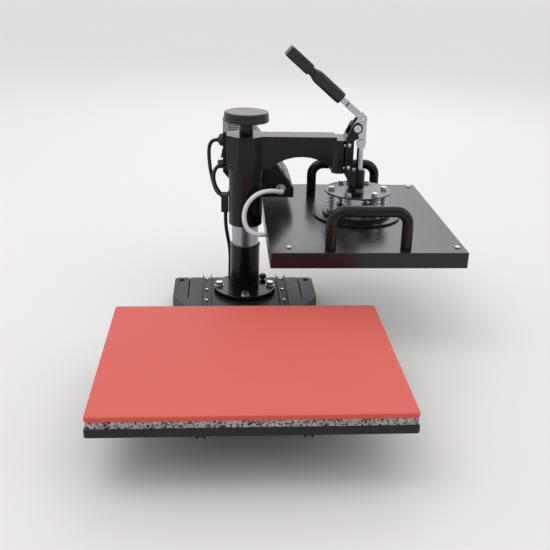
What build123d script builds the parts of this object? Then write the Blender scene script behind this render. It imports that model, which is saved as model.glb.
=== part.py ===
"""A swing-away heat press: a drawer-type lower platen on slide rails and a heated upper platen
carried by an arm that swings and rises on a round column. Millimetres, +Z up.
The origin is on the table top, on the column's axis; -Y is the side that the drawer comes out of.
The arm is drawn swung a quarter turn to the right, with the drawer pulled out and the lever open."""

from build123d import *
from math import atan2, cos, degrees, hypot, radians, sin, tan
import os

# ---- driving dimensions ----------------------------------------------------------------------

# platens
PLATEN_WIDE = 380.0
PLATEN_DEEP = 300.0
PLATEN_X = -4.0          # the tray sits a little to the left of the column
HEAD_REACH = 182.0            # column axis to the middle of the heated platen
DRAWER_TRAVEL = 192.0
PLATEN_TOP = 100.0
SILICONE_THICK = 6.4
SPONGE_THICK = 9.6
TRAY_HIGH = 9.8
TRAY_SHEET = 3.0
TRAY_EDGE = 3.0

# base
BASE_TOP = 30.0
BASE_SHEET = 4.0
SKIRT = 3.0
FOOT_HIGH = 10.0
BASE_HALF = 97.0
BASE_BACK = 57.0
BASE_FRONT = -300.0
EAR_HALF = 124.0
EAR_FRONT = -71.0
EAR_CHAMFER_Y = -29.0
EAR_HOLE = (112.0, 44.0)
EAR_HOLE_R = 4.5
FOOT_R = 17.0
FEET = [(107.0, -46.0), (95.0, 40.0), (80.0, -282.0)]

# slide rails and drawer runners
RAIL_X = 66.0
RAIL_WIDE = 16.0
RAIL_WALL = 1.5
RAIL_TOP = 37.0
RAIL_BACK = 53.5
RAIL_FRONT = -297.0
RAIL_SCREWS = [44.0, -3.5, -50.0, -150.0, -280.0]
RUNNER_WIDE = 12.4
RUNNER_TOP = 41.0
RUNNER_LONG = 312.0
RUNNER_FRONT = -466.0
SLIDE_GAP = 0.1

# column
FLANGE_R = 53.6
FLANGE_TOP = 38.5
FLANGE_BOLT_R = 44.5
TUBE_R = 25.0
TUBE_BORE = 23.4
TUBE_TOP = 114.0
BUSH_TOP = 117.5
POST_R = 22.5
POST_BORE = 18.5
POST_FOOT = 45.0
POST_TOP = 262.0
FIT = 0.05                    # running clearance on the radius
SLEEVE_R = 28.0
SLEEVE_LOW = 154.0
SLEEVE_TOP = 292.0

# head casting and arm
HEAD_FLATS = 64.0
HEAD_LOW = 251.0
HEAD_TOP = 306.0
ARM_HALF = 20.0
ARM_END = 147.0
PAD_HALF = 26.0
PAD_END = 161.0
PAD_LOW = 247.0
PAD_TOP = 302.0

# screw spindle and handwheel
NECK_R = 11.3
THREAD_R = 9.0
WHEEL_R = 37.2
WHEEL_TOP_R = 36.0
WHEEL_LOW = 327.0
WHEEL_TOP = 343.0

# toggle: fixed pivot on the bracket, crank pin on the lever, lower pin on the plunger
PLUNGER_X = 189.5
PIVOT = (180.0, 320.0)
CRANK = (188.9, 335.2)
LOWER_PIN = (189.5, 294.7)
PIN_R = 4.0
LEVER_ANGLE = 139.6           # of the open lever, up from +X
CLEVIS_HALF = 6.0
LINK_IN, LINK_OUT = 6.4, 9.9
FORK_IN, FORK_OUT = 10.3, 13.8
EAR_IN, EAR_OUT = 14.2, 17.2
BAR_HALF = 5.0
ROD_R = 5.5
BARREL_R = 10.5
BARREL_LOW, BARREL_TOP = 217.0, 247.0

# spring plate, pressure plate and heated platen
SPRING_PLATE_R = 56.0
SPRING_PLATE_LOW, SPRING_PLATE_TOP = 210.5, 213.5
BOLT_CIRCLE_R = 44.5
PRESSURE_PLATE_R = 74.0
PRESSURE_DISC_R = 58.0
COVER_LOW, COVER_TOP = 145.0, 169.4
COVER_SHEET = 1.5
HEATER_LOW = 144.5
HANDLE_R = 8.5
HANDLE_SPAN = 115.0
HANDLE_TOP = 228.5
FRONT_HANDLE_Y = -172.0
REAR_HANDLE_Y = 115.0

# control box
BOX_BACK, BOX_FRONT = -38.0, 84.5
BOX_LOW, BOX_TOP = 187.0, 300.0
BOX_NEAR, BOX_FAR = 40.0, 175.0
BOX_SHEET = 1.5
SLOPE_TOP_X = 13.0
SLOPE_LOW_Z = 203.0
REAR_CUT_X, REAR_CUT_Z = 0.0, 232.0
MAINS_GLAND = (60.0, 283.0)
LEAD_GLAND = (62.0, 203.0)

# leads
MAINS_R = 3.2
LEAD_R = 3.75
CLIP_MIN, CLIP_MAX = (-41.0, 4.0, 171.0), (-28.4, 24.0, 201.0)
CLIP_BORE = 15.0
HANK_LOWER = (0.0, 59.5, 118.0, 114.7)      # min X, min Y, max X, max Y
HANK_UPPER = (4.0, 69.0, 112.0, 103.0)
HANK_EXIT_Z = 9.4
PLUG_X = (-88.0, -46.0)
PLUG_Y, PLUG_WIDE, PLUG_HIGH = 78.0, 24.0, 16.4

UPRIGHT = Plane.XZ            # drawn from the front, +X right and +Z up
REST_Y = -(HEAD_REACH + DRAWER_TRAVEL)


def save(piece, label):
    piece.part.label = label
    export_step(piece.part, f"parts/{label}.step")


def ring(outer, inner, low, high, x=0.0, y=0.0):
    with BuildPart() as piece:
        with BuildSketch(Plane.XY.offset(low)):
            with Locations((x, y)):
                Circle(outer)
                Circle(inner, mode=Mode.SUBTRACT)
        extrude(amount=high - low)
    return piece


def hex_bolts(places, seat, head_wide, head_high, shank_r, shank_long):
    # hexagon heads on washers, with shanks running down from the seat
    with BuildPart() as piece:
        with BuildSketch(Plane.XY.offset(seat)):
            with Locations(*places):
                Circle(head_wide * 0.68)
        extrude(amount=1.2)
        with BuildSketch(Plane.XY.offset(seat + 1.2)):
            with Locations(*places):
                RegularPolygon(head_wide / 2, 6, major_radius=False)
        extrude(amount=head_high)
        with BuildSketch(Plane.XY.offset(seat)):
            with Locations(*places):
                Circle(shank_r)
        extrude(amount=-shank_long)
    return piece


# ---- base ------------------------------------------------------------------------------------

def make_base_plate():
    right = [(0, BASE_BACK), (EAR_HALF, BASE_BACK), (EAR_HALF, EAR_CHAMFER_Y),
             (100, EAR_FRONT), (BASE_HALF, EAR_FRONT), (BASE_HALF, BASE_FRONT), (0, BASE_FRONT)]
    left = [(-x, y) for x, y in reversed(right[1:-1])]
    with BuildSketch(Plane.XY.offset(FOOT_HIGH)) as outline:
        with BuildLine():
            Polyline(*right, *left, close=True)
        make_face()
        rounded = outline.vertices().filter_by_position(Axis.Y, BASE_BACK - 1, BASE_BACK + 1)
        fillet(rounded.filter_by(lambda v: abs(v.X) > 100), 9)
    with BuildPart() as base_plate:
        add(outline.sketch)
        extrude(amount=BASE_TOP - FOOT_HIGH)
        with BuildSketch(Plane.XY.offset(FOOT_HIGH)):
            add(outline.sketch.moved(Location((0, 0, -FOOT_HIGH))))
            offset(amount=-SKIRT, mode=Mode.REPLACE)
        extrude(amount=BASE_TOP - BASE_SHEET - FOOT_HIGH, mode=Mode.SUBTRACT)
        # the slit beside each ear, and the ear's own hole
        with BuildSketch(Plane.XY.offset(BASE_TOP)):
            with Locations((BASE_HALF + 1, 12), (-BASE_HALF - 1, 12)):
                Rectangle(1.6, 94)
            with Locations(EAR_HOLE, (-EAR_HOLE[0], EAR_HOLE[1])):
                Circle(EAR_HOLE_R)
        extrude(amount=-BASE_SHEET - 1, mode=Mode.SUBTRACT)
        # clearance holes for the flange bolts and the rail screws
        with BuildSketch(Plane.XY.offset(BASE_TOP)):
            with PolarLocations(FLANGE_BOLT_R, 4):
                Circle(3.0)
            with Locations(*rail_screw_places()):
                Circle(1.5)
        extrude(amount=-BASE_SHEET, mode=Mode.SUBTRACT)
    save(base_plate, "base_plate")


def rail_screw_places():
    return [(side * RAIL_X, y) for side in (-1, 1) for y in RAIL_SCREWS]


def make_feet():
    places = [(side * x, y) for side in (-1, 1) for x, y in FEET]
    with BuildPart() as rubber_feet:
        with BuildSketch():
            with Locations(*places):
                Circle(FOOT_R)
        extrude(amount=FOOT_HIGH)
        fillet(rubber_feet.edges().group_by(Axis.Z)[-1], 4)
        fillet(rubber_feet.edges().group_by(Axis.Z)[0], 1)
        with BuildSketch(Plane.XY.offset(FOOT_HIGH)):
            with Locations(*places):
                Circle(3.0)
        extrude(amount=BASE_TOP - BASE_SHEET - FOOT_HIGH)
    save(rubber_feet, "rubber_feet")


def make_rails():
    for side, label in ((-1, "left_slide_rail"), (1, "right_slide_rail")):
        with BuildPart() as rail:
            with BuildSketch(Plane.XY.offset(BASE_TOP)):
                with Locations((side * RAIL_X, (RAIL_BACK + RAIL_FRONT) / 2)):
                    Rectangle(RAIL_WIDE, RAIL_BACK - RAIL_FRONT)
            extrude(amount=RAIL_TOP - BASE_TOP)
            with BuildSketch(Plane.XY.offset(BASE_TOP + RAIL_WALL)):
                with Locations((side * RAIL_X, (RAIL_BACK + RAIL_FRONT) / 2)):
                    Rectangle(RAIL_WIDE - 2 * RAIL_WALL, RAIL_BACK - RAIL_FRONT)
            extrude(amount=RAIL_TOP - BASE_TOP, mode=Mode.SUBTRACT)
            with BuildSketch(Plane.XY.offset(BASE_TOP)):
                with Locations(*[(side * RAIL_X, y) for y in RAIL_SCREWS]):
                    Circle(1.5)
            extrude(amount=RAIL_WALL, mode=Mode.SUBTRACT)
        save(rail, label)
    with BuildPart() as rail_screws:
        with BuildSketch(Plane.XY.offset(BASE_TOP - BASE_SHEET)):
            with Locations(*rail_screw_places()):
                Circle(1.5)
        extrude(amount=BASE_SHEET + RAIL_WALL)
        with BuildSketch(Plane.XY.offset(BASE_TOP + RAIL_WALL)):
            with Locations(*rail_screw_places()):
                Circle(2.8)
        extrude(amount=1.8)
        fillet(rail_screws.edges().group_by(Axis.Z)[-1], 0.8)
    save(rail_screws, "rail_screws")


def make_column_base():
    with BuildPart() as column_flange:
        with BuildSketch(Plane.XY.offset(BASE_TOP)):
            Circle(FLANGE_R)
            Circle(TUBE_R, mode=Mode.SUBTRACT)
            with PolarLocations(FLANGE_BOLT_R, 4):
                Circle(3.0, mode=Mode.SUBTRACT)
        extrude(amount=FLANGE_TOP - BASE_TOP)
        rim = column_flange.edges().group_by(Axis.Z)[-1].sort_by(SortBy.LENGTH)[-1]
        fillet(rim, 1.2)
    save(column_flange, "column_flange")

    circle = [(FLANGE_BOLT_R * cos(radians(a)), FLANGE_BOLT_R * sin(radians(a))) for a in (0, 90, 180, 270)]
    flange_bolts = hex_bolts(circle, FLANGE_TOP, 11, 5.5, 3.0, FLANGE_TOP - BASE_TOP + BASE_SHEET)
    save(flange_bolts, "flange_bolts")

    with BuildPart() as lower_tube:
        with BuildSketch(Plane.XY.offset(BASE_TOP)):
            Circle(TUBE_R)
            Circle(TUBE_BORE, mode=Mode.SUBTRACT)
        extrude(amount=TUBE_TOP - BASE_TOP)
        with BuildSketch(Plane.XY.offset(POST_FOOT - 5)):
            Circle(TUBE_BORE)
        extrude(amount=4.7)
    save(lower_tube, "lower_tube")

    with BuildPart() as column_bush:
        with BuildSketch(Plane.XY.offset(TUBE_TOP)):
            Circle(TUBE_R + 0.8)
            Circle(POST_R + FIT, mode=Mode.SUBTRACT)
        extrude(amount=BUSH_TOP - TUBE_TOP)
        fillet(column_bush.edges().group_by(Axis.Z)[-1].sort_by(SortBy.LENGTH)[-1], 0.8)
        with BuildSketch(Plane.XY.offset(TUBE_TOP)):
            Circle(TUBE_BORE)
            Circle(POST_R + FIT, mode=Mode.SUBTRACT)
        extrude(amount=-18)
    save(column_bush, "column_bush")

    with BuildPart() as stop_knob:
        with BuildSketch(Plane.XY.offset(FLANGE_TOP)):
            with Locations((33, 27)):
                Circle(2.5)
        extrude(amount=3)
        with BuildSketch(Plane.XY.offset(FLANGE_TOP + 3)):
            with Locations((33, 27)):
                Circle(6.0)
        extrude(amount=7)
        fillet(stop_knob.edges().group_by(Axis.Z)[-1], 2)
    save(stop_knob, "stop_knob")


# ---- drawer platen ---------------------------------------------------------------------------

def make_runners():
    middle = RUNNER_FRONT + RUNNER_LONG / 2
    floor = BASE_TOP + RAIL_WALL + SLIDE_GAP
    for side, label in ((-1, "left_runner"), (1, "right_runner")):
        with BuildPart() as runner:
            with BuildSketch(Plane.XY.offset(floor)):
                with Locations((side * RAIL_X, middle)):
                    Rectangle(RUNNER_WIDE, RUNNER_LONG)
            extrude(amount=RUNNER_TOP - floor)
            # the groove that passes over the rail's screw heads
            with BuildSketch(Plane.XY.offset(floor)):
                with Locations((side * RAIL_X, middle)):
                    Rectangle(6.6, RUNNER_LONG)
            extrude(amount=2.4, mode=Mode.SUBTRACT)
        save(runner, label)
    low = PLATEN_TOP - SILICONE_THICK - SPONGE_THICK - TRAY_HIGH
    with BuildPart() as platen_brackets:
        with BuildSketch(Plane.XY.offset(RUNNER_TOP)):
            with Locations((-RAIL_X, REST_Y + 8), (RAIL_X, REST_Y + 8)):
                Rectangle(12, 210)
        extrude(amount=low + TRAY_HIGH - TRAY_SHEET - RUNNER_TOP)
        with BuildSketch(UPRIGHT):
            with Locations((-RAIL_X, RUNNER_TOP + 19), (RAIL_X, RUNNER_TOP + 19)):
                Rectangle(8, 34)
        extrude(amount=-REST_Y + 400, mode=Mode.SUBTRACT)
    save(platen_brackets, "platen_brackets")


def platen_block(low, high, inset, edge):
    with BuildPart() as piece:
        with BuildSketch(Plane.XY.offset(low)):
            with Locations((PLATEN_X, REST_Y)):
                RectangleRounded(PLATEN_WIDE - 2 * inset, PLATEN_DEEP - 2 * inset, 4)
        extrude(amount=high - low)
        if edge:
            fillet(piece.edges().group_by(Axis.Z)[-1], edge)
    return piece


def make_platen():
    sponge_top = PLATEN_TOP - SILICONE_THICK
    tray_top = sponge_top - SPONGE_THICK
    tray_low = tray_top - TRAY_HIGH
    with BuildPart() as tray:
        with BuildSketch(Plane.XY.offset(tray_low)):
            with Locations((PLATEN_X, REST_Y)):
                RectangleRounded(PLATEN_WIDE + 2, PLATEN_DEEP + 2, 5)
        extrude(amount=TRAY_HIGH)
        fillet(tray.edges().group_by(Axis.Z)[-1], TRAY_EDGE)
        with BuildSketch(Plane.XY.offset(tray_low)):
            with Locations((PLATEN_X, REST_Y)):
                RectangleRounded(PLATEN_WIDE - 6, PLATEN_DEEP - 6, 3)
        extrude(amount=TRAY_HIGH - TRAY_SHEET, mode=Mode.SUBTRACT)
    save(tray, "tray")
    save(platen_block(tray_top, sponge_top, 1.0, 0), "sponge_pad")
    save(platen_block(sponge_top, PLATEN_TOP, 0.0, 0.8), "silicone_pad")


# ---- column post, head casting, screw --------------------------------------------------------

def make_post():
    save(ring(POST_R, POST_BORE, POST_FOOT, POST_TOP), "column_post")
    with BuildPart() as post_nut:
        with BuildSketch(Plane.XY.offset(POST_TOP - 26)):
            Circle(POST_BORE)
            Circle(THREAD_R + FIT, mode=Mode.SUBTRACT)
        extrude(amount=26)
        with BuildSketch(Plane.XY.offset(POST_TOP)):
            Circle(POST_R - 0.5)
            Circle(THREAD_R + FIT, mode=Mode.SUBTRACT)
        extrude(amount=3)
    save(post_nut, "post_nut")


def make_head():
    save(ring(SLEEVE_R, POST_R + FIT, SLEEVE_LOW, SLEEVE_TOP), "sleeve")
    arch_from, arch_to = (38.0, HEAD_LOW + 1.5), (ARM_END - 4, 252.5)
    with BuildPart() as arm:
        with BuildSketch(Plane.XY.offset(HEAD_LOW)):
            RegularPolygon(HEAD_FLATS / 2, 8, major_radius=False, rotation=22.5)
        extrude(amount=HEAD_TOP - HEAD_LOW)
        with BuildSketch(UPRIGHT):
            with BuildLine():
                Polyline((0, HEAD_LOW + 1.5), (0, HEAD_TOP), (ARM_END, HEAD_TOP), (ARM_END, 252.5), arch_to)
                ThreePointArc(arch_to, (90.5, 273.0), arch_from)
                Line(arch_from, (0, HEAD_LOW + 1.5))
            make_face()
        extrude(amount=ARM_HALF, both=True)
        # the chamfered pad that the toggle bracket bolts to
        with BuildSketch(Plane.XY.offset(PAD_LOW)):
            with BuildLine():
                Polyline((ARM_END - 6, -ARM_HALF), (ARM_END + 1, -PAD_HALF), (PAD_END - 3, -PAD_HALF),
                         (PAD_END, -PAD_HALF + 5), (PAD_END, PAD_HALF - 5), (PAD_END - 3, PAD_HALF),
                         (ARM_END + 1, PAD_HALF), (ARM_END - 6, ARM_HALF), close=True)
            make_face()
        extrude(amount=PAD_TOP - PAD_LOW)
        # lug at the back that carries the control box
        with BuildSketch(UPRIGHT.offset(-BOX_NEAR)):
            with Locations((0, 280)):
                Rectangle(26, 34)
        extrude(amount=BOX_NEAR - 25)
        # tapped holes for the bracket's bolts
        with BuildSketch(Plane.YZ.offset(PAD_END - 14)):
            with Locations(*bracket_bolt_places()):
                Circle(3.0)
        extrude(amount=14, mode=Mode.SUBTRACT)
        # sleeve seat and the spindle's bearing hole
        with BuildSketch(Plane.XY.offset(HEAD_LOW)):
            Circle(SLEEVE_R)
        extrude(amount=SLEEVE_TOP - HEAD_LOW, mode=Mode.SUBTRACT)
        with BuildSketch(Plane.XY.offset(SLEEVE_TOP)):
            Circle(NECK_R + FIT)
        extrude(amount=HEAD_TOP - SLEEVE_TOP, mode=Mode.SUBTRACT)
    save(arm, "arm")


def make_screw():
    with BuildPart() as spindle:
        with BuildSketch(Plane.XY.offset(SLEEVE_TOP - 0.3)):
            Circle(NECK_R)
        extrude(amount=WHEEL_LOW + 11 - SLEEVE_TOP + 0.3)
        with BuildSketch(Plane.XY.offset(SLEEVE_TOP - 6)):
            Circle(17.0)
        extrude(amount=5.7)
        with BuildSketch(Plane.XY.offset(212.0)):
            Circle(THREAD_R)
        extrude(amount=SLEEVE_TOP - 6 - 212.0)
    save(spindle, "spindle")
    with BuildPart() as handwheel:
        with BuildSketch(UPRIGHT):
            with BuildLine():
                Polyline((0, WHEEL_LOW + 11), (NECK_R, WHEEL_LOW + 11), (NECK_R, WHEEL_LOW),
                         (WHEEL_R - 2, WHEEL_LOW))
                ThreePointArc((WHEEL_R - 2, WHEEL_LOW), (WHEEL_R - 0.6, WHEEL_LOW + 0.6), (WHEEL_R, WHEEL_LOW + 2))
                Line((WHEEL_R, WHEEL_LOW + 2), (WHEEL_TOP_R, WHEEL_TOP - 2.2))
                ThreePointArc((WHEEL_TOP_R, WHEEL_TOP - 2.2), (WHEEL_TOP_R - 0.7, WHEEL_TOP - 0.7),
                              (WHEEL_TOP_R - 2.4, WHEEL_TOP))
                Polyline((WHEEL_TOP_R - 2.4, WHEEL_TOP), (0, WHEEL_TOP), (0, WHEEL_LOW + 11))
            make_face()
        revolve(axis=Axis.Z)
    save(handwheel, "handwheel")


# ---- toggle ----------------------------------------------------------------------------------

def make_bracket():
    px, pz = PIVOT
    plate_x = PAD_END + 4
    with BuildPart() as toggle_bracket:
        # flange against the arm's pad
        with BuildSketch(Plane.YZ.offset(PAD_END)):
            with Locations((0, (PAD_LOW + PAD_TOP) / 2)):
                Rectangle(2 * PAD_HALF, PAD_TOP - PAD_LOW)
            with Locations(*bracket_bolt_places()):
                Circle(3.0, mode=Mode.SUBTRACT)
        extrude(amount=plate_x - PAD_END)
        # two C-shaped side plates that end in the pivot's ears
        with BuildSketch(UPRIGHT.offset(-EAR_OUT)):
            with BuildLine():
                Polyline((PAD_END, 301), (px - 8.0, pz + 4.0), (px, pz), (px + 3.5, 304), (plate_x + 11, 300),
                         (plate_x + 11, 251), (plate_x + 16, 247), (plate_x + 17, 218), (plate_x + 13, 217.4),
                         (PAD_END, PAD_LOW), close=True)
            make_face()
            with Locations((px, pz)):
                Circle(9.0)
                Circle(PIN_R, mode=Mode.SUBTRACT)
        extrude(amount=2 * EAR_OUT)
        with BuildSketch(UPRIGHT.offset(-EAR_IN)):
            with Locations(((plate_x + 260) / 2, 300)):
                Rectangle(260 - plate_x, 106)
        extrude(amount=2 * EAR_IN, mode=Mode.SUBTRACT)
        # guide barrel and the web that carries it
        with BuildSketch(Plane.XY.offset(BARREL_LOW)):
            with Locations((PLUNGER_X, 0)):
                Circle(BARREL_R)
            with Locations((plate_x + 13, 0)):
                Rectangle(12, 2 * EAR_IN)
        extrude(amount=BARREL_TOP - BARREL_LOW)
        with BuildSketch(Plane.XY.offset(BARREL_LOW)):
            with Locations((PLUNGER_X, 0)):
                Circle(8.0)
        extrude(amount=BARREL_TOP - BARREL_LOW, mode=Mode.SUBTRACT)
    save(toggle_bracket, "toggle_bracket")

    with BuildPart() as bracket_bolts:
        with BuildSketch(Plane.YZ.offset(PAD_END - 14)):
            with Locations(*bracket_bolt_places()):
                Circle(3.0)
        extrude(amount=18)
        with BuildSketch(Plane.YZ.offset(plate_x)):
            with Locations(*bracket_bolt_places()):
                Circle(4.2)
        extrude(amount=4.5)
    save(bracket_bolts, "bracket_bolts")

    save(ring(8.0, ROD_R + FIT, BARREL_LOW, BARREL_TOP + 2, PLUNGER_X), "guide_bush")

    # two shoulder pins, one in each ear, so that the link can pass between them
    with BuildPart() as lever_pivot_pins:
        with BuildSketch(UPRIGHT.offset(FORK_IN), UPRIGHT.offset(-EAR_OUT)):
            with Locations(PIVOT):
                Circle(PIN_R)
        extrude(amount=EAR_OUT - FORK_IN)
        with BuildSketch(UPRIGHT.offset(EAR_OUT), UPRIGHT.offset(-EAR_OUT - 2)):
            with Locations(PIVOT):
                Circle(PIN_R + 2)
        extrude(amount=2)
    save(lever_pivot_pins, "lever_pivot_pins")


def bracket_bolt_places():
    return [(y, z) for y in (-21.8, 21.8) for z in (256.0, 293.0)]


def lever_plane():
    # its x runs up the open lever from the crank pin
    up = (cos(radians(LEVER_ANGLE)), 0, sin(radians(LEVER_ANGLE)))
    return Plane(origin=(CRANK[0], 0, CRANK[1]), x_dir=up, z_dir=(0, -1, 0))


def make_lever():
    along = lever_plane()
    pivot = along.to_local_coords(Vector(PIVOT[0], 0, PIVOT[1]))
    fork_end, bar_end = 34.0, 132.0
    with BuildPart() as lever_fork:
        with BuildSketch(along.offset(-FORK_OUT)):
            with Locations((0, 0)):
                Circle(6.6)
            with Locations((pivot.X, pivot.Y)):
                Circle(7.8)
            make_hull()
            with Locations((fork_end / 2, 0)):
                Rectangle(fork_end, 2 * BAR_HALF)
            with Locations((0, 0), (pivot.X, pivot.Y)):
                Circle(PIN_R + FIT, mode=Mode.SUBTRACT)
        extrude(amount=2 * FORK_OUT)
        with BuildSketch(along.offset(-FORK_IN)):
            with Locations((0, 0)):
                Rectangle(48, 60)
        extrude(amount=2 * FORK_IN, mode=Mode.SUBTRACT)
        with BuildSketch(along.offset(-CLEVIS_HALF)):
            with Locations(((fork_end - 4 + bar_end) / 2, 0)):
                Rectangle(bar_end - fork_end + 4, 2 * BAR_HALF)
        extrude(amount=2 * CLEVIS_HALF)
    save(lever_fork, "lever_fork")

    across = Plane(origin=along.from_local_coords(Vector(47, 0, 0)), x_dir=(0, 1, 0), z_dir=along.x_dir)
    with BuildPart() as lever_grip:
        for reach, wide, thick in ((0, 24, 19), (8, 26, 20.5), (52, 26, 20.5), (60.5, 21, 16)):
            with BuildSketch(across.offset(reach)):
                RectangleRounded(wide, thick, 6.5)
        loft(ruled=True)
        with BuildSketch(across):
            Rectangle(2 * CLEVIS_HALF, 2 * BAR_HALF)
        extrude(amount=62, mode=Mode.SUBTRACT)
    save(lever_grip, "lever_grip")

    with BuildPart() as lever_head:
        with BuildSketch(across.offset(69.5)):
            RectangleRounded(30, 18.5, 3.5)
        extrude(amount=45.5)
        fillet(lever_head.edges().group_by(Axis(across.origin, across.z_dir))[-1], 2.5)
        with BuildSketch(across.offset(60.5)):
            RectangleRounded(17, 14, 4)
        extrude(amount=9)
        with BuildSketch(across.offset(60.5)):
            Rectangle(2 * CLEVIS_HALF, 2 * BAR_HALF)
        extrude(amount=bar_end - 47 - 60.5, mode=Mode.SUBTRACT)
    save(lever_head, "lever_head")

    with BuildPart() as crank_pin:
        with BuildSketch(UPRIGHT.offset(-FORK_OUT)):
            with Locations(CRANK):
                Circle(PIN_R)
        extrude(amount=2 * FORK_OUT)
    save(crank_pin, "crank_pin")


def make_link():
    with BuildPart() as toggle_link:
        with BuildSketch(UPRIGHT.offset(-LINK_OUT)):
            with Locations(CRANK, LOWER_PIN):
                Circle(6.8)
            make_hull()
            with Locations(CRANK):
                Circle(PIN_R + FIT, mode=Mode.SUBTRACT)
        extrude(amount=2 * LINK_OUT)
        with BuildSketch(UPRIGHT.offset(-LINK_IN)):
            with Locations((PLUNGER_X, 315)):
                Rectangle(40, 90)
        extrude(amount=2 * LINK_IN, mode=Mode.SUBTRACT)
        with BuildSketch(UPRIGHT.offset(LINK_OUT), UPRIGHT.offset(-LINK_OUT - 3)):
            with Locations(LOWER_PIN):
                Circle(PIN_R + 2.5)
        extrude(amount=3)
    save(toggle_link, "toggle_link")


def make_plunger():
    bx, bz = LOWER_PIN
    with BuildPart() as plunger_rod:
        with BuildSketch(Plane.XY.offset(SPRING_PLATE_TOP)):
            with Locations((PLUNGER_X, 0)):
                Circle(ROD_R)
        extrude(amount=bz - 6 - SPRING_PLATE_TOP)
        with BuildSketch(Plane.XY.offset(SPRING_PLATE_TOP)):
            with Locations((PLUNGER_X, 0)):
                RegularPolygon(9.5, 6, major_radius=False)
        extrude(amount=3.0)
        with BuildSketch(UPRIGHT.offset(-CLEVIS_HALF)):
            with Locations((bx, bz)):
                Circle(7.5)
            with Locations((bx, bz - 4.5)):
                Rectangle(13, 9)
        extrude(amount=2 * CLEVIS_HALF)
    save(plunger_rod, "plunger_rod")

    with BuildPart() as spring_plate:
        with BuildSketch(Plane.XY.offset(SPRING_PLATE_LOW)):
            with Locations((PLUNGER_X, 0)):
                Circle(SPRING_PLATE_R)
            with Locations((PLUNGER_X, 0)):
                with PolarLocations(BOLT_CIRCLE_R, 6):
                    Circle(3.3, mode=Mode.SUBTRACT)
        extrude(amount=SPRING_PLATE_TOP - SPRING_PLATE_LOW)
    save(spring_plate, "spring_plate")


# ---- heated platen ---------------------------------------------------------------------------

def bolt_circle():
    return [(PLUNGER_X + BOLT_CIRCLE_R * cos(radians(60 * i)), BOLT_CIRCLE_R * sin(radians(60 * i))) for i in range(6)]


def make_pressure_plate():
    with BuildPart() as pressure_plate:
        with BuildSketch(Plane.XY.offset(COVER_TOP)):
            with Locations((PLUNGER_X, 0)):
                Circle(PRESSURE_PLATE_R)
        extrude(amount=3.2)
        with BuildSketch(Plane.XY.offset(COVER_TOP + 3.2)):
            with Locations((PLUNGER_X, 0)):
                Circle(PRESSURE_DISC_R)
        extrude(amount=4.4)
        with BuildSketch(Plane.XY.offset(COVER_TOP)):
            with Locations(*bolt_circle()):
                Circle(3.0)
        extrude(amount=7.6, mode=Mode.SUBTRACT)
    save(pressure_plate, "pressure_plate")

    float_bolts = hex_bolts(bolt_circle(), SPRING_PLATE_TOP, 9, 3.6, 3.0, SPRING_PLATE_TOP - COVER_TOP)
    save(float_bolts, "float_bolts")

    seat = COVER_TOP + 7.6
    height = SPRING_PLATE_LOW - seat
    wire, coil_r, turns = 0.8, 5.6, 6
    with BuildPart() as plate_springs:
        for x, y in bolt_circle():
            start = Plane(origin=(x + coil_r, y, seat + wire), z_dir=(0, 1, 0))
            with BuildLine(mode=Mode.PRIVATE) as coil:
                Helix((height - 2 * wire) / turns, height - 2 * wire, coil_r, center=(x, y, seat + wire))
            with BuildSketch(start) as section:
                Circle(wire)
            sweep(section.sketch, path=coil.wires()[0], is_frenet=True)
    save(plate_springs, "plate_springs")


def make_heater():
    with BuildPart() as heater_cover:
        with BuildSketch(Plane.XY.offset(COVER_LOW)):
            with Locations((HEAD_REACH, 0)):
                RectangleRounded(PLATEN_DEEP, PLATEN_WIDE, 2.5)
        extrude(amount=COVER_TOP - COVER_LOW)
        fillet(heater_cover.edges().group_by(Axis.Z)[-1], 1.2)
        with BuildSketch(Plane.XY.offset(COVER_LOW)):
            with Locations((HEAD_REACH, 0)):
                RectangleRounded(PLATEN_DEEP - 2 * COVER_SHEET, PLATEN_WIDE - 2 * COVER_SHEET, 1)
        extrude(amount=COVER_TOP - COVER_LOW - COVER_SHEET, mode=Mode.SUBTRACT)
        with BuildSketch(Plane.XY.offset(COVER_TOP - COVER_SHEET)):
            with Locations(*cover_screw_places()):
                Circle(2.0)
        extrude(amount=COVER_SHEET, mode=Mode.SUBTRACT)
    save(heater_cover, "heater_cover")

    with BuildPart() as cover_screws:
        with BuildSketch(Plane.XY.offset(COVER_TOP)):
            with Locations(*cover_screw_places()):
                Circle(4.2)
        extrude(amount=2.4)
        fillet(cover_screws.edges().group_by(Axis.Z)[-1], 1.1)
        with BuildSketch(Plane.XY.offset(COVER_TOP)):
            with Locations(*cover_screw_places()):
                Circle(2.0)
        extrude(amount=-9)
    save(cover_screws, "cover_screws")

    plate_top = HEATER_LOW + 13
    with BuildPart() as heating_plate:
        with BuildSketch(Plane.XY.offset(HEATER_LOW)):
            with Locations((HEAD_REACH, 0)):
                RectangleRounded(PLATEN_DEEP - 6, PLATEN_WIDE - 6, 2)
        extrude(amount=13)
        with BuildSketch(Plane.XY.offset(plate_top)):
            with Locations(*cover_screw_places()):
                Circle(5)
                Circle(2.0, mode=Mode.SUBTRACT)
        extrude(amount=COVER_TOP - COVER_SHEET - plate_top)
    save(heating_plate, "heating_plate")

    with BuildPart() as insulation_mat:
        with BuildSketch(Plane.XY.offset(plate_top)):
            with Locations((HEAD_REACH, 0)):
                Rectangle(PLATEN_DEEP - 10, PLATEN_WIDE - 10)
            with Locations(*cover_screw_places()):
                Circle(6, mode=Mode.SUBTRACT)
        extrude(amount=COVER_TOP - COVER_SHEET - plate_top - 0.5)
    save(insulation_mat, "insulation_mat")


def cover_screw_places():
    return [(61.0, -166.0), (61.0, 176.0), (320.0, -166.0), (319.0, 176.0)]


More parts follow.
